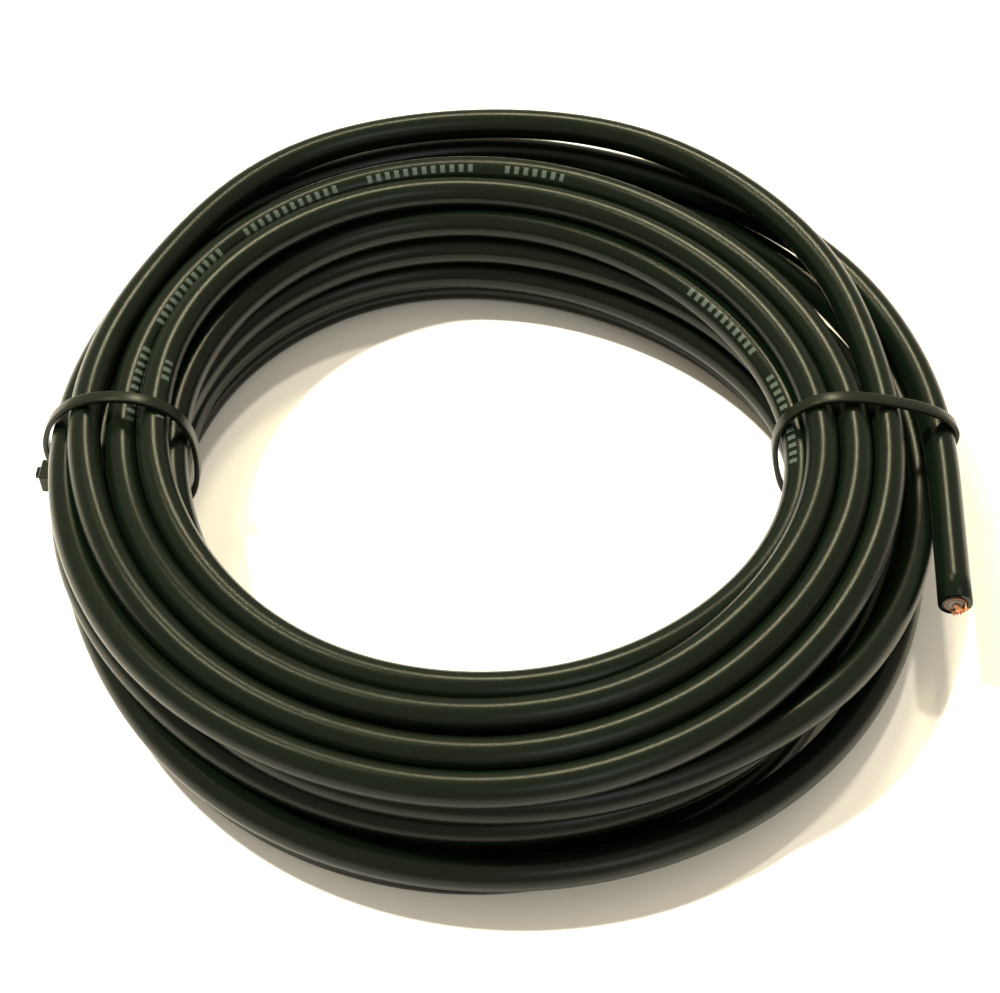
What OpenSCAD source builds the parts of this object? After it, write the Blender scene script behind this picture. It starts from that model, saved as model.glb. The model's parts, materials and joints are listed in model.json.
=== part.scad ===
// Instrument cable: a bulk length of coaxial cable in a round coil, held by two nylon cable ties.
// Millimetres, Z up. The origin is the centre of the coil's eye, on the surface that the coil lies on.
// +X points at the tie beside the free end, and the free end points along -Y.

/* [Cable] */
// Outside diameter of the jacket
cable_d = 6.5; // [5.5:0.1:8]
// Outside diameter of the copper shield
shield_d = 4.1; // [3.6:0.1:5]
// Outside diameter of the conductive sheath under the shield
sheath_d = 3.5; // [3:0.1:4.4]
// Outside diameter of the insulation round the core
insulation_d = 2.8; // [2:0.1:3.6]
// Diameter of one copper strand of the core
strand_d = 0.32; // [0.2:0.01:0.4]

/* [Coil] */
// Radius of the middle of the bundle of turns
coil_r = 74; // [60:1:100]
// Turns in each layer, from the bottom layer up
layers = [3, 4, 4, 3, 2]; // [2:1:5]
// Distance between turns side by side
turn_pitch = 7.6; // [6.6:0.1:9]
// Distance between one layer and the next
layer_pitch = 6.1; // [5.6:0.1:7]

/* [Cable ends] */
// Length of the straight free end
free_end_len = 30; // [15:1:40]
// Angle round the coil over which the hidden end runs
hidden_end_sweep = 17; // [10:1:30]
// How far the core strands stand out of a cut end
strand_proud = 1.0; // [0:0.1:3]

/* [Cable ties] */
// Width of the strap
strap_w = 2.5; // [2.2:0.1:3.6]
// Thickness of the strap
strap_t = 1.1; // [0.9:0.1:1.4]
// Width of the head
head_w = 5.0; // [4:0.1:6]
// Height of the head out from the bundle
head_h = 4.8; // [4.4:0.1:6]
// Angle of the left tie round the coil
left_tie_angle = 177; // [160:1:200]
// Angle of the right tie round the coil
right_tie_angle = 3; // [-5:1:20]

/* [Hidden] */
$fn = 72;
cable_r = cable_d / 2;
half_width = (max(layers) - 1) / 2 * turn_pitch;
core_play = 0.03;
strand_gap = 0.01;

// The last turn comes out of the bundle at the left, just under its fourth layer, and runs round the back.
// Its centre is to the right of the coil's, so it stands clear of the bundle at its free end.
last_turn_shift = 5;
last_turn_r = coil_r + half_width;
last_turn_z = cable_r + 2.9 * layer_pitch;
last_turn_from = 165;
last_turn_to = -5;

// The first turn's end is tucked in at the bottom of the eye, on the near side.
first_turn_r = 55.5;
first_turn_shift = 6;
first_turn_shift_angle = 190;
first_turn_lift = 0.2;
first_turn_z = cable_r + first_turn_lift;
first_turn_from = 205;
first_turn_to = 247;

// Each tie's corners are the centres that its strap bends round: [distance from the coil's axis, height].
// They go round from one side of the tie's head to the other.
left_tie_corners = [[84.4, 7], [81, 4.7], [67, 4.7], [63.6, 9.4], [63.6, 15.4], [70.2, 26.4],
                    [77.8, 26.4], [84.4, 15.4]];
right_tie_corners = [[81, 4.7], [67, 4.7], [63.6, 9.4], [63.6, 15.4], [70.2, 26.4], [77.8, 26.4],
                     [90.1, 22], [90.1, 20]];
waist_play = 0.1;
// The block that the bundle's squeezed outline is cut out of, round a tie.
waist_block_w = 60;
waist_block_h = 100;
waist_block_below = 25;

// How far along its straight part of the strap each head stands, as a share of it.
left_head_share = 0.35;
right_head_share = 0.45;

// Inside a head, x runs out from the bundle and y runs back along the strap that comes in.
head_foot = 2.7;
head_top = 2.3;
slot_y = 0.2;
slot_play = 0.1;
bend_r = 0.3;
strap_start = 0.5;
tail_stub = 0.5;
pawl_pivot = [1.6, -0.5];
pawl_root_r = 0.35;
pawl_play = 0.05;
pawl_w = 2.2;
pawl_root_from = 105;
pawl_root_to = 285;
pawl_teeth_drop = 0.15;
tooth_pitch = 0.7;
tooth_h = 0.25;
first_tooth_x = 2.15;
tooth_count = 2;
tooth_gap = 0.1;
saw_end_x = first_tooth_x + tooth_count * tooth_pitch;
pawl_cavity = [3.95, -1.7];
cavity_corner = 0.4;

cable_coil();
free_end_jacket();
free_end_shield();
free_end_conductive_sheath();
free_end_insulation();
free_end_core_strands();
hidden_end_jacket();
hidden_end_shield();
hidden_end_conductive_sheath();
hidden_end_insulation();
hidden_end_core_strands();
left_cable_tie();
left_tie_pawl();
right_cable_tie();
right_tie_pawl();

// ---- The coil ----

function turn_centre(layer, i) =
    [coil_r + (i - (layers[layer] - 1) / 2) * turn_pitch, cable_r + layer * layer_pitch];

// The bundle's section: a circle for each turn, filled in between them and flat where it lies down.
module bundle_section() {
    top = len(layers) - 1;
    for (layer = [0 : top])
        for (i = [0 : layers[layer] - 1])
            translate(turn_centre(layer, i)) circle(d = cable_d);
    inner_side = [for (layer = [0 : top]) turn_centre(layer, 0)];
    outer_side = [for (layer = [top : -1 : 0]) turn_centre(layer, layers[layer] - 1)];
    polygon(concat(inner_side, outer_side));
    foot_from = turn_centre(0, 0)[0];
    foot_to = turn_centre(0, layers[0] - 1)[0];
    translate([foot_from, 0]) square([foot_to - foot_from, cable_r]);
}

module last_turn() {
    translate([last_turn_shift, 0, last_turn_z])
        rotate([0, 0, last_turn_to])
            rotate_extrude(angle = last_turn_from - last_turn_to)
                translate([last_turn_r, 0]) circle(d = cable_d);
}

module first_turn_frame(from) {
    rotate([0, 0, first_turn_shift_angle]) translate([first_turn_shift, 0, first_turn_z])
        rotate([0, 0, from - first_turn_shift_angle]) children();
}

module first_turn() {
    first_turn_frame(first_turn_from)
        rotate_extrude(angle = first_turn_to - first_turn_from)
            translate([first_turn_r, 0]) circle(d = cable_d);
}

// A tie's plane stands on the coil's axis, with x out from the axis and y up.
module in_tie_plane(angle) {
    rotate([0, 0, angle]) rotate([90, 0, 0]) children();
}

// What a tie squeezes the bundle in by, and the room for its head.
module waist(angle, corners, head_share) {
    in_tie_plane(angle) {
        linear_extrude(strap_w + 2 * waist_play, center = true) difference() {
            translate([coil_r - waist_block_w / 2, -waist_block_below])
                square([waist_block_w, waist_block_h]);
            polygon(strap_side(corners, cable_r));
        }
        in_head(corners, head_share)
            linear_extrude(head_w + 2 * waist_play, center = true)
                translate([0, -head_foot - waist_play])
                    square([head_h, head_foot + head_top + 2 * waist_play]);
    }
}

module cable_coil() {
    color([0.05, 0.055, 0.05]) difference() {
        union() {
            rotate_extrude() bundle_section();
            last_turn();
            first_turn();
        }
        waist(left_tie_angle, left_tie_corners, left_head_share);
        waist(right_tie_angle, right_tie_corners, right_head_share);
    }
}

// ---- What the cable is made of, seen at its two cut ends ----

module jacket_section() {
    difference() {
        circle(d = cable_d);
        circle(d = shield_d);
    }
}

module shield_section() {
    difference() {
        circle(d = shield_d);
        circle(d = sheath_d);
    }
}

module conductive_sheath_section() {
    difference() {
        circle(d = sheath_d);
        circle(d = insulation_d);
    }
}

// The insulation's bore leaves a little room round the bundle of strands.
module insulation_section() {
    difference() {
        circle(d = insulation_d);
        circle(d = 3 * strand_d + 2 * core_play);
    }
}

// One strand in the middle and six round it.
module core_section() {
    circle(d = strand_d);
    for (i = [0 : 5])
        rotate(60 * i) translate([strand_d + strand_gap, 0]) circle(d = strand_d);
}

module straight_end(length) {
    translate([last_turn_shift, 0, last_turn_z]) rotate([0, 0, last_turn_to])
        translate([last_turn_r, 0, 0]) rotate([90, 0, 0])
            linear_extrude(length) children();
}

module curved_end(sweep) {
    first_turn_frame(first_turn_to)
        rotate_extrude(angle = sweep) translate([first_turn_r, 0]) children();
}

module free_end_jacket() {
    color([0.05, 0.055, 0.05]) straight_end(free_end_len) jacket_section();
}

module free_end_shield() {
    color([0.72, 0.42, 0.26]) straight_end(free_end_len) shield_section();
}

module free_end_conductive_sheath() {
    color([0.09, 0.09, 0.09]) straight_end(free_end_len) conductive_sheath_section();
}

module free_end_insulation() {
    color([0.88, 0.86, 0.8]) straight_end(free_end_len) insulation_section();
}

module free_end_core_strands() {
    color([0.8, 0.48, 0.3]) straight_end(free_end_len + strand_proud) core_section();
}

module hidden_end_jacket() {
    color([0.05, 0.055, 0.05]) curved_end(hidden_end_sweep) jacket_section();
}

module hidden_end_shield() {
    color([0.72, 0.42, 0.26]) curved_end(hidden_end_sweep) shield_section();
}

module hidden_end_conductive_sheath() {
    color([0.09, 0.09, 0.09]) curved_end(hidden_end_sweep) conductive_sheath_section();
}

module hidden_end_insulation() {
    color([0.88, 0.86, 0.8]) curved_end(hidden_end_sweep) insulation_section();
}

module hidden_end_core_strands() {
    color([0.8, 0.48, 0.3]) curved_end(hidden_end_sweep + strand_proud) core_section();
}

// ---- The cable ties ----

// Points along an arc, a step every 15 degrees or so.
function arc(centre, r, from, to) =
    let (steps = ceil(abs(to - from) / 15))
        [for (i = [0 : steps]) let (a = from + (to - from) * i / steps) centre + r * [cos(a), sin(a)]];

function edge_angle(from, to) = atan2(to[1] - from[1], to[0] - from[0]);

// One side of the strap: a clockwise ring of corners, each rounded at a distance of r.
function strap_side(corners, r) =
    let (n = len(corners))
        [for (i = [0 : n - 1])
            let (come = edge_angle(corners[(i + n - 1) % n], corners[i]),
                 leave = edge_angle(corners[i], corners[(i + 1) % n]),
                 bend = (come - leave + 360) % 360)
                each arc(corners[i], r, come + 90, come + 90 - bend)];

// A head faces out of the edge between its tie's last corner and first corner.
function head_at(corners, share) = corners[0] + share * (corners[len(corners) - 1] - corners[0]);

function head_turn(corners) = edge_angle(corners[0], corners[len(corners) - 1]) - 90;

module in_head(corners, share) {
    translate(head_at(corners, share)) rotate(head_turn(corners)) translate([cable_r, 0]) children();
}

// Points given in a head's own directions, moved to where that head is.
function from_head(points, corners, share) =
    let (turn = head_turn(corners), x = [cos(turn), sin(turn)], y = [-sin(turn), cos(turn)])
        [for (p = points) head_at(corners, share) + (cable_r + p[0]) * x + p[1] * y];

function reversed(points) = [for (i = [len(points) - 1 : -1 : 0]) points[i]];

// The edge of a row of ratchet teeth, each with a ramp and then a locking face.
function saw_edge(from, base) =
    [for (i = [0 : tooth_count - 1])
        each [[from + i * tooth_pitch, base], [from + (i + 1) * tooth_pitch, base + tooth_h]]];

// The strap starts in the foot of the head, goes round the bundle, turns outward through the slot
// and ends just past it.
module strap(corners, share) {
    bend_x = strap_t + bend_r;
    bend_centre = [bend_x, slot_y + bend_x];
    tail_end = head_h + tail_stub;
    tail = concat(arc(bend_centre, bend_r, 180, 270),
                  [[tail_end, slot_y + strap_t], [tail_end, slot_y], [saw_end_x, slot_y]],
                  reversed(saw_edge(first_tooth_x, slot_y)),
                  arc(bend_centre, bend_x, 270, 180));
    linear_extrude(strap_w, center = true)
        polygon(concat(from_head([[strap_t, strap_start - head_foot]], corners, share),
                       strap_side(corners, cable_r + strap_t),
                       from_head(tail, corners, share),
                       reversed(strap_side(corners, cable_r)),
                       from_head([[0, strap_start - head_foot]], corners, share)));
}

module head_block() {
    difference() {
        linear_extrude(head_w, center = true)
            translate([0, -head_foot]) square([head_h, head_foot + head_top]);
        linear_extrude(strap_w + 2 * slot_play, center = true)
            polygon(slot_and_cavity());
    }
}

// The slot that the strap leaves through, and the room under it that the pawl rocks in.
function slot_and_cavity() =
    let (floor_y = slot_y - slot_play, roof_y = slot_y + strap_t + slot_play, r = pawl_root_r + pawl_play)
        concat([[-1, floor_y], [pawl_pivot[0] - r, floor_y]],
               arc(pawl_pivot, r, 180, 270),
               [[pawl_pivot[0] + cavity_corner, pawl_cavity[1]], pawl_cavity, [pawl_cavity[0], floor_y],
                [head_h + 1, floor_y], [head_h + 1, roof_y], [strap_t + bend_r, roof_y],
                [strap_t + bend_r, head_top + 1], [-1, head_top + 1]]);

module cable_tie(angle, corners, share) {
    color([0.06, 0.06, 0.06]) in_tie_plane(angle) {
        strap(corners, share);
        in_head(corners, share) head_block();
    }
}

// The pawl leans out of its root towards the strap's teeth, and rocks away from them.
module tie_pawl(angle, corners, share) {
    color([0.1, 0.1, 0.1]) in_tie_plane(angle) in_head(corners, share)
        linear_extrude(pawl_w, center = true)
            polygon(concat(saw_edge(first_tooth_x - tooth_gap, slot_y - pawl_teeth_drop),
                           [[saw_end_x - tooth_gap, pawl_pivot[1]]],
                           arc(pawl_pivot, pawl_root_r, pawl_root_to, pawl_root_from)));
}

module left_cable_tie() {
    cable_tie(left_tie_angle, left_tie_corners, left_head_share);
}

module left_tie_pawl() {
    tie_pawl(left_tie_angle, left_tie_corners, left_head_share);
}

module right_cable_tie() {
    cable_tie(right_tie_angle, right_tie_corners, right_head_share);
}

module right_tie_pawl() {
    tie_pawl(right_tie_angle, right_tie_corners, right_head_share);
}
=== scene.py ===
"""Looks of the instrument cable: the wound turns, the cut ends, the cable ties, the floor and the light."""

import json
import math

import bpy
import numpy as np
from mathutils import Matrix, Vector


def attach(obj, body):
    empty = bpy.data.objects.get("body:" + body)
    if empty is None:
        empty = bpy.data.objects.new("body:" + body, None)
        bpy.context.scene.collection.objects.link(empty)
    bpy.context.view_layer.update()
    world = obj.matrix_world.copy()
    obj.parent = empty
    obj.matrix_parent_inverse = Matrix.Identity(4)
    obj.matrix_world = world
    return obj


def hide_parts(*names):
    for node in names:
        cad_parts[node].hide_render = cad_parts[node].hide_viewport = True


# Lengths are in millimetres and angles in degrees, unless a comment says otherwise. This is one
# millimetre in Blender's metres.
MM = 0.001

# The cable's own sizes.
CABLE_R = 3.25
BORE_R = 2.05
HIDDEN_BORE_DEPTH = 16.0
FREE_BORE_DEPTH = 30.0
EDGE_R = 0.25

# How finely the cord's tube is cut: sides round it, and parts between two stations of the winding.
TUBE_SIDES = 24
PARTS_PER_STATION = 2

# The winding: a station every STEP degrees, going clockwise from the hidden end to the free end.
STEP = 5.0
STATIONS = int(360 / STEP)
START_ANGLE = 264.0
LAST_STATION_ANGLE = -20.0
TURNS = 17
WINDING_SEED = 8
# How much of a turn's step to its next place is spread over the whole turn. The rest comes late in the
# turn, and starts somewhere between these two parts of it.
SLOW_DRIFT = 0.35
CROSSING_STARTS = (0.6, 0.78)
# How far the turns wander from their places, and how many waves per turn the wander is made of. The
# faster waves are smaller, and the last two turns take only a share of the wander.
WANDER_R = 1.5
WANDER_Z = 1.0
WANDER_WAVES = (0.31, 0.57, 0.83, 1.37, 2.1, 3.3)
WANDER_FADE = 0.8
GUIDED_WANDER = 0.2

# The settling: how strongly each round pulls the turns back to their places and straightens them. The
# last rounds are gentler.
SETTLING_ROUNDS = 420
GENTLE_FROM = 0.85
PULL_BACK = 0.03
GENTLE_PULL_BACK = 0.004
STRAIGHTEN = 0.06
GENTLE_STRAIGHTEN = 0.03
# In each round, how often touching turns push each other apart, how hard, and the gap that they keep.
PUSHES = 3
PUSH_SHARE = 0.28
TURN_GAP = 0.02
# The turns rise over the straps under them: the room above each strap, and its half width in degrees.
STRAP_ROOM = 0.3
STRAP_ROOM_WIDTH = 9.0
# The heads hold the turns off within this angle, with room that grows past the nearest degrees.
HEAD_REACH = 45
HEAD_ROOM_FROM = 2.0
HEAD_ROOM_GROWTH = 0.003
# Stations that the cable doesn't reach are put this far away, and apart from each other.
FAR_AWAY = 10000.0
FAR_APART = 50.0

# How many turns lie in each layer, from the floor up.
LAYER_COUNT = [3, 3, 4, 3, 3]
# For each layer, at the right, back, left and front of the coil: the height of its centres, its
# middle's distance from the axis, and the distance between its turns.
LAYER_Z = [
    [3.4, 3.4, 3.4, 3.4],
    [9.4, 9.4, 9.4, 9.0],
    [15.5, 16.0, 15.5, 15.5],
    [21.7, 23.0, 21.7, 21.7],
    [28.0, 30.0, 28.0, 28.0],
]
LAYER_MIDDLE = [
    [74.8, 72.5, 75.0, 75.8],
    [76.0, 73.5, 75.8, 76.0],
    [74.5, 73.0, 74.8, 69.7],
    [71.3, 74.3, 71.5, 70.2],
    [69.8, 74.2, 72.5, 66.2],
]
LAYER_PITCH = [
    [7.6, 7.0, 6.9, 9.4],
    [8.0, 8.3, 6.9, 8.2],
    [7.8, 7.6, 6.8, 7.8],
    [7.7, 8.4, 6.6, 7.3],
    [7.2, 7.5, 6.6, 7.2],
]
# The order in which the turns fill the layers: each layer, and the way along it.
FILL_ORDER = [(0, 1), (1, -1), (2, 1), (3, -1), (4, 1)]
# How far the inner turns reach out at the back left, and in at the back right. It fades to nothing
# towards LEAN_R_STOP from the axis.
LEAN = 3.4
LEAN_R_STOP = 86
LEAN_R_FADE = 20
# How far the outer turns are pulled in at the front left, and where: its angle and its half width. It
# grows from nothing at TUCK_R_START from the axis.
FRONT_TUCK = 1.7
TUCK_ANGLE = 213
TUCK_WIDTH = 18
TUCK_R_START = 74
TUCK_R_FADE = 8

# The last two turns: angle round the coil, distance from the axis, height. The first of them rises
# behind the bundle, and the last one ends in the free end, which is straight.
TOP_TURN = [
    (264, 73.4, 28.0),
    (200, 77.5, 28.0),
    (150, 81.5, 29.0),
    (118, 88.5, 31.0),
    (90, 88.3, 31.4),
    (68, 89.2, 31.4),
    (40, 85.8, 29.9),
    (10, 79.5, 28.3),
    (-30, 75.0, 28.0),
    (-96, 80.5, 27.5),
]
LAST_TURN = [
    (264, 80.5, 27.5),
    (180, 83.2, 24.0),
    (150, 83.8, 23.5),
    (120, 87.6, 23.6),
    (90, 89.0, 23.3),
    (66, 87.8, 22.2),
    (36, 91.2, 22.5),
    (12, 90.4, 21.5),
    (-5, 90.4, 20.94),
]
FREE_END_ANGLE = -4

# The arc that the hidden end lies on, and the angles round the coil down to which the cord is held on
# it, and down to which it starts on it.
HIDDEN_CENTRE = (-5.909, -1.042)
HIDDEN_RADIUS = 55.5
HIDDEN_Z = 3.45
HIDDEN_FIXED_TO = 225.0
HIDDEN_GUIDED_TO = 205.0

# The print: ticks in groups, with the pitches in metres and the part of each pitch that is filled. A
# group's pitch is 15 ticks. The row's half width is in turns round the jacket.
TICK_PITCH = 0.0021
TICK_FILLED = 0.5
GROUP_PITCH = 0.0315
GROUP_FILLED = 0.8
PRINT_HALF_WIDTH = 0.042
JACKET_BLACK = (0.0022, 0.0045, 0.0022)
PRINT_GREY = (0.085, 0.11, 0.095)
PRINT_STRENGTH = 1.1
# The jacket's roughness in its smoothest places, and how much rougher it gets.
JACKET_ROUGHNESS = 0.18
JACKET_SCUFFING = 0.12
# How many turns round the jacket the printed line lies where it is hidden, and where it shows.
PRINT_HIDDEN = -0.25
PRINT_SHOWN = -0.65
# Stations over which the line turns from one side to the other.
PRINT_TWIST = 2.0
# Stretches where the line shows: turn, angle at which it starts, angle at which it stops.
PRINT_SHOWS = [(14, 190, 66), (13, 190, 156), (12, 54, -20)]

# The frayed copper at the free end: wires out of the core, and out of one side of the shield.
FRAY_SEED = 3
CORE_WIRES = 18
SHIELD_WIRES = 24
WIRE_R = 0.13
WIRE_SIDES = 8
# How far from the cord's middle they stand, and how deep in the cord they start.
CORE_R = 0.33
CORE_DEPTH = 20.0
SHIELD_R = 1.88
SHIELD_DEPTH = 0.8
# The shield's wires come from this arc of it, in radians.
SHIELD_ARC = (-0.5, 1.9)
# A wire is straight up to the end face, with a point at WIRE_ROOT before it. Then it bends over while
# it reaches out by a length between these two, less what the bend takes back.
WIRE_ROOT = 0.3
WIRE_REACH = (0.4, 1.1)
WIRE_STEPS = 6
WIRE_SLOWING = 0.35
# How far the wires lean sideways and down, and how much the lean differs from wire to wire.
FRAY_ACROSS = 0.9
FRAY_DOWN = 0.75
FRAY_SPREAD = 0.35
# How far the shield's wires fold in over the end face.
SHIELD_FOLD = 0.7

# The cable ties. A head's sizes are given outward from its foot, and back along the strap.
STRAP_W = 2.5
STRAP_T = 1.1
STRAP_EDGE_R = 0.25
STRAP_EDGE_STEPS = 3
STRAP_START = 0.5
TAIL_STUB = 0.9
# The strap settles as a springy band. Each round straightens it, then pulls its points to their
# spacing and pushes it off the turns and the floor, several times.
STRAP_SPACING = 1.2
STRAP_SPRING = 0.7
STRAP_ROUNDS = 400
STRAP_PULLS = 12
STRAP_PULL = 0.45
STRAP_GAP = 0.03
STRAP_FLOOR_GAP = 0.05
BEND_STEPS = 6
TAIL_BEND_STEPS = 8
HEAD_W = 5.0
HEAD_H = 4.8
HEAD_FOOT = 2.7
HEAD_TOP = 2.3
HEAD_EDGE_R = 0.5
HEAD_EDGE_STEPS = 3
SLOT_Y = 0.2
SLOT_PLAY = 0.1
BEND_R = 0.3
# The room that the pawl rocks in: where it starts and stops outward from the foot, and its floor.
PAWL_ROOM_START = 1.2
PAWL_ROOM_STOP = 3.98
PAWL_ROOM_SLOPE = 0.8
PAWL_ROOM_STEP = -1.0
PAWL_ROOM_FLOOR = -1.75
# Each tie's angle round the coil, how far up its free side the head sits, how much longer its strap is
# than a tight one, how many degrees the strap leans out above the head, and the corners that the strap
# bends round in the plain coil: distance from the axis, height.
TIES = {
    "left": {
        "angle": 177.0,
        "share": 0.35,
        "slack": 0.025,
        "lean": 35.0,
        "corners": [
            (84.4, 7), (81, 4.7), (67, 4.7), (63.6, 9.4),
            (63.6, 15.4), (70.2, 26.4), (77.8, 26.4), (84.4, 15.4),
        ],
    },
    "right": {
        "angle": 3.0,
        "share": 0.45,
        "slack": 0.015,
        "lean": 30.0,
        "corners": [
            (81, 4.7), (67, 4.7), (63.6, 9.4), (63.6, 15.4),
            (70.2, 26.4), (77.8, 26.4), (90.1, 22), (90.1, 20),
        ],
    },
}

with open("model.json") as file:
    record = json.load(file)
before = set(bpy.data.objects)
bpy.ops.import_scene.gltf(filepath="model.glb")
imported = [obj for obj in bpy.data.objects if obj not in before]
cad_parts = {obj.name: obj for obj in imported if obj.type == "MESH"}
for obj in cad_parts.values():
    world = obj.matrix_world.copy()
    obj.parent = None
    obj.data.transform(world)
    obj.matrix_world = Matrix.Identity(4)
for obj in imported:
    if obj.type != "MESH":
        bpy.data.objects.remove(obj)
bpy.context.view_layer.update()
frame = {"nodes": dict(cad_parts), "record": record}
record = frame["record"]


# ---- Small helpers ----

def smooth_step(x):
    """Rises from 0 to 1 as x does, with no corner at either end."""
    x = np.clip(x, 0.0, 1.0)
    return x * x * (3 - 2 * x)


def round_the_coil(values, angle):
    """A smooth closed curve through values at 0, 90, 180 and 270 degrees."""
    right, back, left, front = values
    a = np.radians(angle)
    middle = (right + back + left + front) / 4
    across = (right - left) / 2
    along = (back - front) / 2
    squeeze = (right - back + left - front) / 4
    return middle + across * np.cos(a) + along * np.sin(a) + squeeze * np.cos(2 * a)


def through_keys(keys, values, x):
    """A smooth curve through values at rising keys."""
    result = np.full(len(x), float(values[0]))
    for k in range(len(keys) - 1):
        part = smooth_step((x - keys[k]) / (keys[k + 1] - keys[k]))
        result = np.where(x >= keys[k], values[k] + (values[k + 1] - values[k]) * part, result)
    return result


def mesh_piece(name, points, faces, material, smooth=True):
    """A mesh object from points in metres."""
    mesh = bpy.data.meshes.new(name)
    mesh.from_pydata([tuple(p) for p in points], [], [tuple(f) for f in faces])
    mesh.update()
    for polygon in mesh.polygons:
        polygon.use_smooth = smooth
    piece = bpy.data.objects.new(name, mesh)
    bpy.context.scene.collection.objects.link(piece)
    piece.data.materials.append(material)
    return piece


def mount(name):
    """The record's mount of that name."""
    return next(m for m in record["mounts"] if m["name"] == name)


# ---- The winding, in millimetres ----

def slots():
    """The places in the bundle that the turns take one after another: layer, place from the inside."""
    order = []
    for layer, way in FILL_ORDER:
        places = list(range(LAYER_COUNT[layer]))
        order += [(layer, place) for place in (places if way > 0 else places[::-1])]
    return order


def slot_centre(slot, angle):
    """Where a place in the bundle lies at each angle: distance from the axis, height."""
    layer, place = slot
    middle = round_the_coil(LAYER_MIDDLE[layer], angle)
    pitch = round_the_coil(LAYER_PITCH[layer], angle)
    r = middle + (place - (LAYER_COUNT[layer] - 1) / 2) * pitch
    return np.stack([r, round_the_coil(LAYER_Z[layer], angle)], axis=1)


def guided_turn(rows, angle):
    """A turn that passes through rows of angle, distance from the axis and height."""
    keys = [-row[0] for row in rows]
    r = through_keys(keys, [row[1] for row in rows], -angle)
    z = through_keys(keys, [row[2] for row in rows], -angle)
    return np.stack([r, z], axis=1)


def ray_meets_arc(angle):
    """How far from the axis the hidden end's arc lies, at each angle."""
    a = np.radians(angle)
    x, y = HIDDEN_CENTRE
    along = np.cos(a) * x + np.sin(a) * y
    return along + np.sqrt(along * along - x * x - y * y + HIDDEN_RADIUS ** 2)


def ray_meets_line(angle, point, direction):
    """How far from the axis a straight line lies, at each angle."""
    a = np.radians(angle)
    normal = np.array([-direction[1], direction[0]])
    return (point @ normal) / (np.cos(a) * normal[0] + np.sin(a) * normal[1])


def keep_off_head(places, angle, tie):
    """Moves centres near a tie to the bundle's side of the tie's head, with more room further from it."""
    low = np.array(tie["corners"][0], float)
    high = np.array(tie["corners"][-1], float)
    outward = np.array([high[1] - low[1], low[0] - high[0]]) / np.linalg.norm(high - low)
    away = np.abs((angle - tie["angle"] + 180) % 360 - 180)
    near = away < HEAD_REACH
    room = HEAD_ROOM_GROWTH * np.clip(away[near] - HEAD_ROOM_FROM, 0, None) ** 2
    outside = np.clip((places[near] - low) @ outward - room, 0, None)
    places[near] -= outside[:, None] * outward


def wander(random, index, size):
    """A random wave along the stations, spread as widely as size."""
    wave = np.zeros(len(index))
    for pace in WANDER_WAVES:
        swing = random.normal() / (WANDER_FADE + pace)
        wave += swing * np.sin(2 * np.pi * pace * index / STATIONS + random.uniform(0, 2 * np.pi))
    return wave * (size / wave.std())


def wind(free_start, free_direction, free_z):
    """The cable's centre at each station, after settling: distance from the axis, height."""
    random = np.random.default_rng(WINDING_SEED)
    count = (TURNS - 1) * STATIONS + int((START_ANGLE - LAST_STATION_ANGLE) / STEP) + 1
    index = np.arange(count)
    turn = index // STATIONS
    station = index % STATIONS
    angle = START_ANGLE - STEP * station
    places = np.zeros((count, 2))
    order = slots()
    for k in range(TURNS):
        here = turn == k
        if k >= TURNS - 2:
            places[here] = guided_turn(TOP_TURN if k == TURNS - 2 else LAST_TURN, angle[here])
            continue
        start = slot_centre(order[k], angle[here])
        end = slot_centre(order[k + 1], angle[here])
        part = (START_ANGLE - angle[here]) / 360
        crosses_at = random.uniform(*CROSSING_STARTS)
        share = SLOW_DRIFT * part + (1 - SLOW_DRIFT) * smooth_step((part - crosses_at) / (1 - crosses_at))
        share = share[:, None]
        places[here] = start * (1 - share) + end * share

    for axis, size in ((0, WANDER_R), (1, WANDER_Z)):
        wave = wander(random, index, size)
        places[:, axis] += np.where(turn >= TURNS - 2, GUIDED_WANDER * wave, wave)

    lean = LEAN * np.sin(2 * np.radians(angle)) * (1 + np.sin(np.radians(angle))) / 2
    places[:, 0] -= lean * np.clip((LEAN_R_STOP - places[:, 0]) / LEAN_R_FADE, 0, 1)
    tuck = FRONT_TUCK * np.exp(-(((angle - TUCK_ANGLE) / TUCK_WIDTH) ** 2))
    places[:, 0] -= tuck * np.clip((places[:, 0] - TUCK_R_START) / TUCK_R_FADE, 0, 1)

    hidden = (turn == 0) & (angle >= HIDDEN_GUIDED_TO)
    places[hidden, 0] = ray_meets_arc(angle[hidden])
    places[hidden, 1] = HIDDEN_Z
    free = (turn == TURNS - 1) & (angle <= FREE_END_ANGLE)
    places[free, 0] = ray_meets_line(angle[free], free_start, free_direction)
    places[free, 1] = free_z
    fixed = free | ((turn == 0) & (angle >= HIDDEN_FIXED_TO))
    return settle(places, fixed, turn, station, angle), angle


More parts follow.
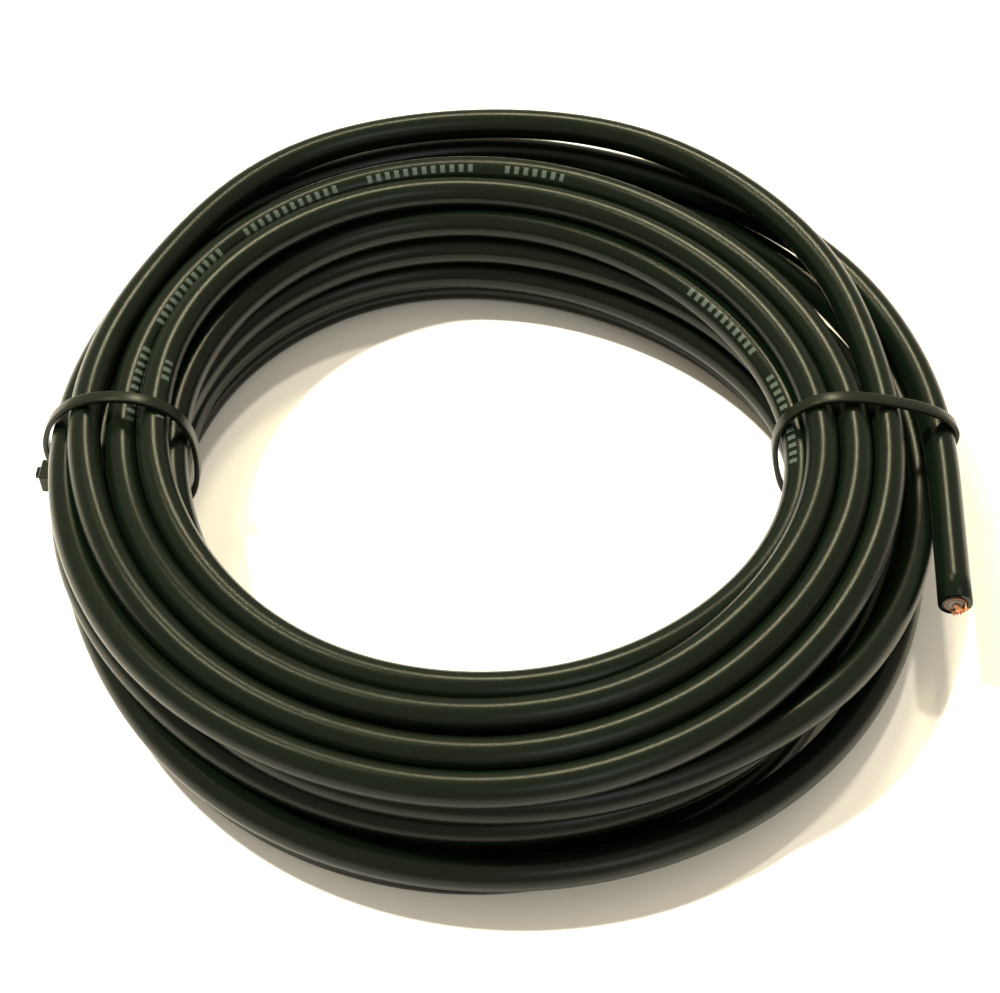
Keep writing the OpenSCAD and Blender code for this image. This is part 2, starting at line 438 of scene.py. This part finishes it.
def settle(wanted, fixed, turn, station, angle):
    """Lets the turns push each other apart, stay smooth, and stay on the floor and in the straps."""
    table = np.full((TURNS, STATIONS), -1)
    table[turn, station] = np.arange(len(wanted))
    used = table >= 0
    far = np.zeros((TURNS, STATIONS, 2))
    far[:, :, 0] = FAR_AWAY + FAR_APART * np.arange(TURNS)[:, None]
    floor = np.full(len(wanted), CABLE_R)
    for tie in TIES.values():
        away = (angle - tie["angle"] + 180) % 360 - 180
        floor += (STRAP_T + STRAP_ROOM) * np.exp(-((away / STRAP_ROOM_WIDTH) ** 2))
    places = wanted.copy()
    same = np.arange(TURNS)
    for step in range(SETTLING_ROUNDS):
        gentle = step > GENTLE_FROM * SETTLING_ROUNDS
        places += (GENTLE_PULL_BACK if gentle else PULL_BACK) * (wanted - places)

        # The cord straightens where its bend differs from the bend on either side.
        bend = np.zeros_like(places)
        bend[1:-1] = places[:-2] - 2 * places[1:-1] + places[2:]
        stiff = np.zeros_like(places)
        stiff[1:-1] = bend[:-2] - 2 * bend[1:-1] + bend[2:]
        places[2:-2] -= (GENTLE_STRAIGHTEN if gentle else STRAIGHTEN) * stiff[2:-2]

        # Turns that overlap at a station push each other apart.
        for _ in range(PUSHES):
            grid = np.where(used[:, :, None], places[table], far)
            apart = grid[:, None] - grid[None, :]
            distance = np.linalg.norm(apart, axis=-1)
            distance[same, same] = np.inf
            overlap = np.clip(2 * CABLE_R + TURN_GAP - distance, 0, None)
            push = (apart * (PUSH_SHARE * overlap / distance)[..., None]).sum(axis=1)
            places[table[used]] += push[used]
            for tie in TIES.values():
                keep_off_head(places, angle, tie)
            places[:, 1] = np.maximum(places[:, 1], floor)
            places[fixed] = wanted[fixed]
    return places


def smooth_line(points, parts):
    """A smooth curve through points, with each stretch between two of them cut in parts."""
    t = np.arange((len(points) - 1) * parts + 1) / parts
    k = np.minimum(t.astype(int), len(points) - 2)
    f = (t - k)[:, None]
    before = points[np.maximum(k - 1, 0)]
    here = points[k]
    after = points[k + 1]
    beyond = points[np.minimum(k + 2, len(points) - 1)]
    return here + 0.5 * f * (
        after - before
        + f * (2 * before - 5 * here + 4 * after - beyond + f * (3 * (here - after) + beyond - before))
    )


# ---- The cord: one tube along the whole winding ----

def sweep(centres, radii, sides):
    """Points and faces of a closed round tube. Repeated centres make steps in its radius."""
    centres = np.asarray(centres, float)
    moved = np.linalg.norm(np.diff(centres, axis=0), axis=1) > 1e-9
    ways = np.zeros_like(centres)
    for i in range(len(centres)):
        back = i - 1
        while back >= 0 and not moved[back]:
            back -= 1
        ahead = i
        while ahead < len(moved) and not moved[ahead]:
            ahead += 1
        low = centres[back] if back >= 0 else centres[i]
        high = centres[ahead + 1] if ahead < len(moved) else centres[i]
        ways[i] = high - low
    ways /= np.linalg.norm(ways, axis=1)[:, None]
    inward = np.cross(ways, (0, 0, 1))
    inward /= np.linalg.norm(inward, axis=1)[:, None]
    upward = np.cross(inward, ways)
    turn = 2 * np.pi * np.arange(sides) / sides
    ring = inward[:, None] * np.cos(turn)[None, :, None] + upward[:, None] * np.sin(turn)[None, :, None]
    points = (centres[:, None] + np.asarray(radii)[:, None, None] * ring).reshape(-1, 3)
    faces = []
    for i in range(len(centres) - 1):
        for j in range(sides):
            k = (j + 1) % sides
            faces.append((i * sides + j, (i + 1) * sides + j, (i + 1) * sides + k, i * sides + k))
    last = (len(centres) - 1) * sides
    faces.append(tuple(range(sides)))
    faces.append(tuple(last + j for j in reversed(range(sides))))
    return points, faces


def cord_line():
    """The cord's centreline in millimetres, from the hidden end's cut to the free end's cut."""
    free = mount("free_end")
    axis = np.array(free["axis"])
    middle = np.array(free["pos_m"]) / MM
    half = free["dims"]["length_mm"] / 2
    start = middle - half * axis
    face = middle + half * axis
    places, angle = wind(start[:2], axis[:2], start[2])
    a = np.radians(angle)
    stations = np.stack([places[:, 0] * np.cos(a), places[:, 0] * np.sin(a), places[:, 1]], axis=1)
    # The stations' angles are round the coil's axis, and the cut's angle is round the hidden end's own arc.
    cut_angle = math.radians(START_ANGLE)
    cut = (
        HIDDEN_CENTRE[0] + HIDDEN_RADIUS * math.cos(cut_angle),
        HIDDEN_CENTRE[1] + HIDDEN_RADIUS * math.sin(cut_angle),
        HIDDEN_Z,
    )
    return smooth_line(np.concatenate([[cut], stations, [face]]), PARTS_PER_STATION)


def stretch_near(line, from_start, depth):
    """The part of a line within a depth of one of its ends, going in from that end."""
    points = line if from_start else line[::-1]
    run = np.concatenate([[0], np.cumsum(np.linalg.norm(np.diff(points, axis=0), axis=1))])
    inside = points[(run < depth) & (run > 0)]
    stop = np.array([np.interp(depth, run, points[:, k]) for k in range(3)])
    return np.concatenate([points[:1], inside, [stop]])


def jacket_mesh(line):
    """Centres and radii of the jacket's rings, and how many rings come before the cord's own line.

    The rings run out of the hidden end's bore, along the outside, and into the free end's bore.
    """
    hidden_bore = stretch_near(line, True, HIDDEN_BORE_DEPTH)[::-1]
    free_bore = stretch_near(line, False, FREE_BORE_DEPTH)
    start_way = (line[1] - line[0]) / np.linalg.norm(line[1] - line[0])
    end_way = (line[-1] - line[-2]) / np.linalg.norm(line[-1] - line[-2])
    centres = [hidden_bore, line[:1], [line[0] + EDGE_R * start_way], line[1:-1],
               [line[-1] - EDGE_R * end_way], line[-1:], free_bore]
    radii = [np.full(len(hidden_bore), BORE_R), [CABLE_R - EDGE_R], [CABLE_R],
             np.full(len(line) - 2, CABLE_R), [CABLE_R], [CABLE_R - EDGE_R],
             np.full(len(free_bore), BORE_R)]
    return np.concatenate(centres), np.concatenate(radii), len(hidden_bore) + 1


# ---- Materials ----

def material(name, colour, roughness, metallic=0.0):
    """A plain material."""
    made = bpy.data.materials.new(name)
    made.use_nodes = True
    shader = made.node_tree.nodes["Principled BSDF"]
    shader.inputs["Base Color"].default_value = (*colour, 1)
    shader.inputs["Roughness"].default_value = roughness
    shader.inputs["Metallic"].default_value = metallic
    return made


def new_node(tree, kind, **inputs):
    """A node with some inputs set. An underscore in an input's name stands for a space."""
    node = tree.nodes.new(kind)
    for name, value in inputs.items():
        node.inputs[name.replace("_", " ")].default_value = value
    return node


def maths(tree, operation, first, second=None):
    """A Math node fed by sockets or numbers. Returns its output."""
    node = tree.nodes.new("ShaderNodeMath")
    node.operation = operation
    for place, value in enumerate((first, second)):
        if value is None:
            continue
        if isinstance(value, (int, float)):
            node.inputs[place].default_value = value
        else:
            tree.links.new(value, node.inputs[place])
    return node.outputs[0]


def mix_colours(tree, share, first, second):
    """The first colour where share is 0, and the second where it is 1."""
    node = tree.nodes.new("ShaderNodeMix")
    node.data_type = "RGBA"
    tree.links.new(share, node.inputs[0])
    node.inputs[6].default_value = (*first, 1)
    node.inputs[7].default_value = (*second, 1)
    return node.outputs[2]


def add_bump(tree, shader, height, strength, distance):
    """Fine relief on a shader's surface."""
    bump = new_node(tree, "ShaderNodeBump", Strength=strength, Distance=distance)
    tree.links.new(height, bump.inputs["Height"])
    tree.links.new(bump.outputs[0], shader.inputs["Normal"])


def uv_parts(tree, name):
    """The two coordinates of a UV map."""
    uv = tree.nodes.new("ShaderNodeUVMap")
    uv.uv_map = name
    parts = tree.nodes.new("ShaderNodeSeparateXYZ")
    tree.links.new(uv.outputs[0], parts.inputs[0])
    return parts.outputs[0], parts.outputs[1]


def jacket_material():
    """Black flexible plastic with fine wear, and a row of plain marks printed along one side."""
    made = material("jacket_plastic", JACKET_BLACK, 0.2)
    tree = made.node_tree
    shader = tree.nodes["Principled BSDF"]
    shader.inputs["Specular IOR Level"].default_value = 0.16

    along, round_it = uv_parts(tree, "along")
    around = maths(tree, "FRACT", round_it)
    straight = uv_parts(tree, "straight")[0]
    untwisted = maths(tree, "GREATER_THAN", straight, 0.99)
    in_tick = maths(tree, "FRACT", maths(tree, "DIVIDE", along, TICK_PITCH))
    in_group = maths(tree, "FRACT", maths(tree, "DIVIDE", along, GROUP_PITCH))
    tick = maths(tree, "LESS_THAN", in_tick, TICK_FILLED)
    group = maths(tree, "LESS_THAN", in_group, GROUP_FILLED)
    off_line = maths(tree, "ABSOLUTE", maths(tree, "SUBTRACT", around, 0.5))
    band = maths(tree, "LESS_THAN", off_line, PRINT_HALF_WIDTH)
    marks = maths(tree, "MULTIPLY", maths(tree, "MULTIPLY", tick, group), band)
    marks = maths(tree, "MULTIPLY", marks, untwisted)
    wear = new_node(tree, "ShaderNodeTexNoise", Scale=900.0, Detail=3.0)
    strength = maths(tree, "MULTIPLY", wear.outputs[0], PRINT_STRENGTH)
    faint = maths(tree, "MULTIPLY", marks, strength)
    colour = mix_colours(tree, faint, JACKET_BLACK, PRINT_GREY)
    tree.links.new(colour, shader.inputs["Base Color"])

    scuffs = new_node(tree, "ShaderNodeTexNoise", Scale=140.0, Detail=5.0, Roughness=0.6)
    scuffing = maths(tree, "MULTIPLY", scuffs.outputs[0], JACKET_SCUFFING)
    roughness = maths(tree, "ADD", scuffing, JACKET_ROUGHNESS)
    tree.links.new(roughness, shader.inputs["Roughness"])
    grain = new_node(tree, "ShaderNodeTexNoise", Scale=1500.0, Detail=2.0)
    add_bump(tree, shader, grain.outputs[0], strength=0.12, distance=0.0001)
    return made


def copper_material(name, colour, roughness):
    """Copper with the fine relief of wires laid side by side."""
    made = material(name, colour, roughness, metallic=1.0)
    tree = made.node_tree
    shader = tree.nodes["Principled BSDF"]
    weave = new_node(tree, "ShaderNodeTexNoise", Scale=2600.0, Detail=2.0)
    add_bump(tree, shader, weave.outputs[0], strength=0.4, distance=0.00015)
    return made


# ---- The cord and what shows at its ends ----

def print_line(lead, count):
    """At each ring, how far round the jacket the printed line lies, and 1 where it doesn't twist.

    The cord's line starts at ring number lead.
    """
    station = (np.arange(count) - lead) / PARTS_PER_STATION - 1
    shown = np.zeros(count)
    for turn, first, last in PRINT_SHOWS:
        start = turn * STATIONS + (START_ANGLE - first) / STEP
        stop = turn * STATIONS + (START_ANGLE - last) / STEP
        shown += smooth_step((station - start) / PRINT_TWIST) * smooth_step((stop - station) / PRINT_TWIST)
    side = PRINT_HIDDEN + (PRINT_SHOWN - PRINT_HIDDEN) * shown
    return side, np.abs(2 * shown - 1)


def put_uv_on(mesh, sides, run, turned, straight):
    """Two UV maps for the print.

    "along" has metres along the cord, and the way round it with 0.5 on the printed line. "straight" has 1
    where the line doesn't twist.
    """
    along = mesh.uv_layers.new(name="along")
    untwisted = mesh.uv_layers.new(name="straight")
    for polygon in mesh.polygons:
        seam = any(mesh.loops[k].vertex_index % sides == sides - 1 for k in polygon.loop_indices)
        for k in polygon.loop_indices:
            vertex = mesh.loops[k].vertex_index
            ring, side = divmod(vertex, sides)
            if seam and side == 0:
                side = sides
            along.data[k].uv = (run[ring], side / sides + turned[ring])
            untwisted.data[k].uv = (straight[ring], 0)


def frayed_wires(face, out):
    """Centrelines of a bunch of wires, in millimetres: out of the core and the shield, and bent over."""
    random = np.random.default_rng(FRAY_SEED)
    across = np.cross((0, 0, 1), out)
    up = np.array([0.0, 0.0, 1.0])
    lean = FRAY_ACROSS * across - FRAY_DOWN * up
    bunch = []
    for k in range(CORE_WIRES + SHIELD_WIRES):
        if k < CORE_WIRES:
            a = random.uniform(0, 2 * np.pi)
            r = CORE_R * math.sqrt(random.uniform(0, 1))
            depth = CORE_DEPTH
        else:
            a = random.uniform(*SHIELD_ARC)
            r = SHIELD_R
            depth = SHIELD_DEPTH
        sideways = math.cos(a) * across - math.sin(a) * up
        root = face + r * sideways
        reach = random.uniform(*WIRE_REACH)
        aim = lean + random.normal(size=3) * FRAY_SPREAD
        if k >= CORE_WIRES:
            aim -= SHIELD_FOLD * sideways
        points = [root - depth * out, root - WIRE_ROOT * out, root]
        for step in range(1, WIRE_STEPS + 1):
            t = step / WIRE_STEPS
            points.append(root + reach * (out * (t - WIRE_SLOWING * t * t) + aim * t * t))
        bunch.append(np.array(points))
    return bunch


def bunch_piece(name, bunch, radius, finish):
    """One mesh of round wires along centrelines in millimetres."""
    points = []
    faces = []
    for centreline in bunch:
        wire_points, wire_faces = sweep(centreline, np.full(len(centreline), radius), WIRE_SIDES)
        start = sum(len(p) for p in points)
        faces += [tuple(start + i for i in face) for face in wire_faces]
        points.append(wire_points)
    return mesh_piece(name, np.concatenate(points) * MM, faces, finish)


black_jacket = jacket_material()
copper = copper_material("bright_copper", colour=(0.85, 0.42, 0.23), roughness=0.28)
braid = copper_material("dull_copper", colour=(0.22, 0.11, 0.065), roughness=0.5)
sheath_plastic = material("conductive_sheath_plastic", colour=(0.016, 0.016, 0.017), roughness=0.5)
# The insulation's dark brown grey is partly dirt and partly painted shade of the cut end: clean
# polyethylene is far paler.
insulation_dirt_and_shade = material("insulation_dirt_and_shade", colour=(0.10, 0.088, 0.068), roughness=0.4)

line = cord_line()
centres, radii, lead = jacket_mesh(line)
points, faces = sweep(centres, radii, TUBE_SIDES)
cable = mesh_piece("wound_cable", points * MM, faces, black_jacket)
run = np.concatenate([[0], np.cumsum(np.linalg.norm(np.diff(centres, axis=0), axis=1))]) * MM
turned, straight = print_line(lead, len(centres))
put_uv_on(cable.data, TUBE_SIDES, run, turned, straight)
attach(cable, "coil")
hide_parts("cable_coil", "free_end_jacket", "hidden_end_jacket")

inner_layers = {
    "shield": braid,
    "conductive_sheath": sheath_plastic,
    "insulation": insulation_dirt_and_shade,
    "core_strands": copper,
}
for end in ("free_end", "hidden_end"):
    for layer, finish in inner_layers.items():
        node = frame["nodes"][f"{end}_{layer}"]
        node.data.materials.clear()
        node.data.materials.append(finish)

free_axis = np.array(mount("free_end")["axis"])
frayed = bunch_piece("frayed_copper", frayed_wires(line[-1], free_axis), WIRE_R, copper)
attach(frayed, "coil")
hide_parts("free_end_core_strands")


# ---- The cable ties ----

def hull(points):
    """The convex ring round points, clockwise."""
    ordered = sorted(map(tuple, points))

    def half(row):
        kept = []
        for p in row:
            while len(kept) > 1 and (
                (kept[-1][0] - kept[-2][0]) * (p[1] - kept[-2][1])
                - (kept[-1][1] - kept[-2][1]) * (p[0] - kept[-2][0])
            ) >= 0:
                kept.pop()
            kept.append(p)
        return kept[:-1]

    return np.array(half(ordered) + half(ordered[::-1]))


def unit(v):
    """The same direction, one long."""
    return v / np.linalg.norm(v)


def strap_ring(tie, line):
    """Corners that the strap bends round, from the head's foot to its top, and the turns' centres."""
    turn = math.radians(tie["angle"])
    outward = np.array([math.cos(turn), math.sin(turn)])
    across = np.array([-math.sin(turn), math.cos(turn)])
    beside = line[:, :2] @ across
    out = line[:, :2] @ outward
    centres = []
    for k in np.flatnonzero((beside[:-1] * beside[1:] <= 0) & (out[:-1] > 0)):
        share = beside[k] / (beside[k] - beside[k + 1])
        before = np.array([out[k], line[k, 2]])
        after = np.array([out[k + 1], line[k + 1, 2]])
        centres.append((1 - share) * before + share * after)
    first = np.array(tie["corners"][0], float)
    last = np.array(tie["corners"][-1], float)
    ring = hull(centres + [first, last])
    start = int(np.argmin(np.linalg.norm(ring - first, axis=1)))
    ring = np.roll(ring, -start, axis=0)
    stop = int(np.argmin(np.linalg.norm(ring - last, axis=1)))
    return ring[: stop + 1], centres


def tight_ring(ring):
    """The strap's middle, pulled tight round the ring's corners."""
    result = []
    count = len(ring)
    off = CABLE_R + STRAP_T / 2
    for i in range(count):
        come = ring[i] - ring[i - 1]
        leave = ring[(i + 1) % count] - ring[i]
        come_angle = math.atan2(come[1], come[0])
        bend = (come_angle - math.atan2(leave[1], leave[0])) % (2 * math.pi)
        for k in range(BEND_STEPS + 1):
            a = come_angle + math.pi / 2 - bend * k / BEND_STEPS
            result.append(ring[i] + off * np.array([math.cos(a), math.sin(a)]))
    return np.array(result)


def even_line(points, spacing):
    """The same line with its points evenly spaced."""
    run = np.concatenate([[0], np.cumsum(np.linalg.norm(np.diff(points, axis=0), axis=1))])
    count = max(3, int(run[-1] / spacing) + 1)
    at = np.linspace(0, run[-1], count)
    return np.stack([np.interp(at, run, points[:, k]) for k in range(2)], axis=1)


def relax_strap(points, centres, slack):
    """Bends the strap's line as a springy band longer than the tight one, and keeps it off the turns."""
    centres = np.array(centres)
    closest = CABLE_R + STRAP_T / 2 + STRAP_GAP
    spacing = (1 + slack) * np.linalg.norm(np.diff(points, axis=0), axis=1).mean()
    count = len(points)
    bending = np.diff(np.eye(count), 2, axis=0)
    straighten = np.linalg.inv(np.eye(count) + STRAP_SPRING * bending.T @ bending)
    # The head holds both ends, so they keep their places and directions.
    held = np.array([0, 1, count - 2, count - 1])
    ends = points[held]
    for _ in range(STRAP_ROUNDS):
        points = straighten @ points
        for _ in range(STRAP_PULLS):
            step = np.diff(points, axis=0)
            length = np.linalg.norm(step, axis=1)[:, None]
            pull = STRAP_PULL * (1 - spacing / length) * step
            points[1:-1] += pull[1:] - pull[:-1]
            apart = points[:, None] - centres[None]
            distance = np.linalg.norm(apart, axis=2)
            push = np.clip(closest - distance, 0, None) / distance
            points += (apart * push[:, :, None]).sum(axis=1)
            points[:, 1] = np.maximum(points[:, 1], STRAP_T / 2 + STRAP_FLOOR_GAP)
            points[held] = ends
    return points


def head_frame(tie):
    """Middle of a head's foot, the way out of the bundle, and the way back along the strap."""
    first = np.array(tie["corners"][0], float)
    last = np.array(tie["corners"][-1], float)
    back = unit(last - first)
    out = np.array([back[1], -back[0]])
    return first + tie["share"] * (last - first) + CABLE_R * out, out, back


def in_tie(tie, points, across):
    """Points of a tie's own plane, moved across it and put in the row frame, in metres."""
    turn = math.radians(tie["angle"])
    outward = np.array([math.cos(turn), math.sin(turn), 0])
    sideways = np.array([math.sin(turn), -math.cos(turn), 0])
    upward = np.array([0, 0, 1])
    points = np.asarray(points, float)
    in_plane = points[:, :1] * outward + points[:, 1:] * upward
    return (in_plane + np.asarray(across)[:, None] * sideways) * MM


def strap_line(tie, line):
    """The middle of the strap, from the foot of the head, round the bundle and out at the cut tail."""
    foot, out, back = head_frame(tie)

    def from_head(x, y):
        return foot + x * out + y * back

    ring, centres = strap_ring(tie, line)
    half = STRAP_T / 2
    start = from_head(half, STRAP_START - HEAD_FOOT)
    leave = from_head(half, -HEAD_FOOT)
    arrive = from_head(half, HEAD_TOP)
    top = from_head(half, SLOT_Y + STRAP_T + BEND_R)
    lean = math.radians(tie["lean"])
    above = from_head(half + STRAP_SPACING * math.sin(lean), HEAD_TOP + STRAP_SPACING * math.cos(lean))
    tight = even_line(np.concatenate([[leave], tight_ring(ring), [above, arrive]]), STRAP_SPACING)
    round_bundle = relax_strap(tight, centres, tie["slack"])
    bend = []
    turn_r = BEND_R + half
    for k in range(1, TAIL_BEND_STEPS + 1):
        a = math.radians(180 + 90 * k / TAIL_BEND_STEPS)
        x = half + turn_r * (1 + math.cos(a))
        y = SLOT_Y + half + turn_r * (1 + math.sin(a))
        bend.append(from_head(x, y))
    tail = [from_head(x, SLOT_Y + half) for x in (HEAD_H / 2, HEAD_H, HEAD_H + TAIL_STUB)]
    return np.concatenate([[start], round_bundle, [top], bend, tail])


def strap_piece(name, tie, line):
    """The whole strap, from the foot of the head to the cut tail."""
    middles = strap_line(tie, line)
    ways = np.gradient(middles, axis=0)
    ways /= np.linalg.norm(ways, axis=1)[:, None]
    normals = np.stack([-ways[:, 1], ways[:, 0]], axis=1)
    # The strap's section with rounded corners: which corner, and the way out from the corner's centre.
    section = []
    for corner_x, corner_y, start in ((1, 1, 0), (-1, 1, 90), (-1, -1, 180), (1, -1, 270)):
        for k in range(STRAP_EDGE_STEPS + 1):
            a = math.radians(start + 90 * k / STRAP_EDGE_STEPS)
            section.append((corner_x, corner_y, math.cos(a), math.sin(a)))
    rows = []
    for side_x, side_y, dx, dy in section:
        across = side_x * (STRAP_W / 2 - STRAP_EDGE_R) + STRAP_EDGE_R * dx
        depth = side_y * (STRAP_T / 2 - STRAP_EDGE_R) + STRAP_EDGE_R * dy
        rows.append(in_tie(tie, middles + depth * normals, np.full(len(middles), across)))
    points = np.stack(rows, axis=1).reshape(-1, 3)
    sides = len(section)
    faces = []
    for i in range(len(middles) - 1):
        for j in range(sides):
            k = (j + 1) % sides
            faces.append((i * sides + j, i * sides + k, (i + 1) * sides + k, (i + 1) * sides + j))
    faces.append(tuple(reversed(range(sides))))
    last = (len(middles) - 1) * sides
    faces.append(tuple(last + j for j in range(sides)))
    return mesh_piece(name, points, faces, tie_nylon)


def prism(name, outline, width, tie):
    """A solid as wide as width, from an outline given in the directions of a tie's head."""
    foot, out, back = head_frame(tie)
    flat = np.array([foot + x * out + y * back for x, y in outline])
    count = len(flat)
    points = np.concatenate([
        in_tie(tie, flat, np.full(count, -width / 2)),
        in_tie(tie, flat, np.full(count, width / 2)),
    ])
    faces = [tuple(range(count)), tuple(count + i for i in reversed(range(count)))]
    for i in range(count):
        k = (i + 1) % count
        faces.append((i, count + i, count + k, k))
    return mesh_piece(name, points, faces, tie_nylon, smooth=False)


def head_piece(name, tie):
    """A rounded block with the slot that the strap leaves by, and the room that the pawl rocks in."""
    outline = [(0, -HEAD_FOOT), (HEAD_H, -HEAD_FOOT), (HEAD_H, HEAD_TOP), (0, HEAD_TOP)]
    block = prism(name, outline, HEAD_W, tie)
    floor_y = SLOT_Y - SLOT_PLAY
    roof_y = SLOT_Y + STRAP_T + SLOT_PLAY
    turn_x = STRAP_T + BEND_R
    room = [
        (-1, floor_y), (PAWL_ROOM_START, floor_y),
        (PAWL_ROOM_START, PAWL_ROOM_STEP), (PAWL_ROOM_START + PAWL_ROOM_SLOPE, PAWL_ROOM_FLOOR),
        (PAWL_ROOM_STOP, PAWL_ROOM_FLOOR), (PAWL_ROOM_STOP, floor_y),
        (HEAD_H + 1, floor_y), (HEAD_H + 1, roof_y),
        (turn_x, roof_y), (turn_x, HEAD_TOP + 1), (-1, HEAD_TOP + 1),
    ]
    cutter = prism(name + "_cutter", room, STRAP_W + 2 * SLOT_PLAY, tie)
    soften = block.modifiers.new("soften", "BEVEL")
    soften.width = HEAD_EDGE_R * MM
    soften.segments = HEAD_EDGE_STEPS
    cut = block.modifiers.new("cut", "BOOLEAN")
    cut.operation = "DIFFERENCE"
    cut.solver = "EXACT"
    cut.object = cutter
    bpy.context.view_layer.update()
    shape = bpy.data.meshes.new_from_object(block.evaluated_get(bpy.context.evaluated_depsgraph_get()))
    block.modifiers.clear()
    block.data = shape
    bpy.data.objects.remove(cutter)
    return block


tie_nylon = material("tie_nylon", colour=(0.004, 0.006, 0.003), roughness=0.3)
tie_nylon.node_tree.nodes["Principled BSDF"].inputs["Specular IOR Level"].default_value = 0.2
for side, tie in TIES.items():
    strap = strap_piece(f"{side}_strap", tie, line)
    head = head_piece(f"{side}_tie_head", tie)
    for piece in (strap, head):
        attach(piece, "coil")
        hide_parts(f"{side}_cable_tie")
    pawl = frame["nodes"][f"{side}_tie_pawl"]
    pawl.data.materials.clear()
    pawl.data.materials.append(tie_nylon)


# ---- Floor, light and camera ----

# The floor and the lamps are in metres.
floor_half = 15.0
floor_corners = [
    (-floor_half, -floor_half, 0), (floor_half, -floor_half, 0),
    (floor_half, floor_half, 0), (-floor_half, floor_half, 0),
]
floor_mesh = bpy.data.meshes.new("floor")
floor_mesh.from_pydata(floor_corners, [], [(0, 1, 2, 3)])
floor = bpy.data.objects.new("floor", floor_mesh)
bpy.context.scene.collection.objects.link(floor)
floor.data.materials.append(material("pale_floor", colour=(0.86, 0.84, 0.79), roughness=0.7))


def area_light(name, place, size, power, colour):
    """A square lamp that points at the middle of the coil."""
    data = bpy.data.lights.new(name, "AREA")
    data.energy = power
    data.size = size
    data.color = colour
    light = bpy.data.objects.new(name, data)
    light.location = place
    light.rotation_euler = (Vector((0, 0, 0.01)) - light.location).to_track_quat("-Z", "Y").to_euler()
    bpy.context.scene.collection.objects.link(light)
    return light


# Two lamps cast the shadows, and two dim ones beside them give the thin glints on the jacket.
key = area_light("key", place=(-0.62, 0.25, 1.3), size=0.08, power=38, colour=(1.0, 0.97, 0.86))
second = area_light("second", place=(0.2, 0.62, 1.4), size=0.08, power=10, colour=(1.0, 0.92, 0.74))
for lamp in (key, second):
    lamp.visible_glossy = False
area_light("left_glint", place=(-0.45, 0.45, 1.3), size=0.13, power=6.0, colour=(1.0, 0.92, 0.58))
area_light("back_glint", place=(0.08, 0.82, 1.1), size=0.20, power=8.5, colour=(1.0, 0.92, 0.58))
area_light("front_fill", place=(0.6, -1.0, 1.3), size=0.6, power=4, colour=(0.82, 0.92, 1.0))

world = bpy.data.worlds.new("studio")
world.use_nodes = True
background = world.node_tree.nodes["Background"]
background.inputs["Color"].default_value = (1.0, 0.88, 0.68, 1)
background.inputs["Strength"].default_value = 0.78
bpy.context.scene.world = world
bpy.context.scene.view_settings.view_transform = "Standard"

# The camera's place and the point that it looks at are in metres.
camera_data = bpy.data.cameras.new("camera")
camera_data.sensor_width = 36
camera_data.lens = 67.2
camera = bpy.data.objects.new("camera", camera_data)
camera.location = (0, -0.2397, 0.3080)
camera_target = Vector((0.0021, -0.0026, 0.0111))
camera.rotation_euler = (camera_target - camera.location).to_track_quat("-Z", "Y").to_euler()
bpy.context.scene.collection.objects.link(camera)
bpy.context.scene.camera = camera
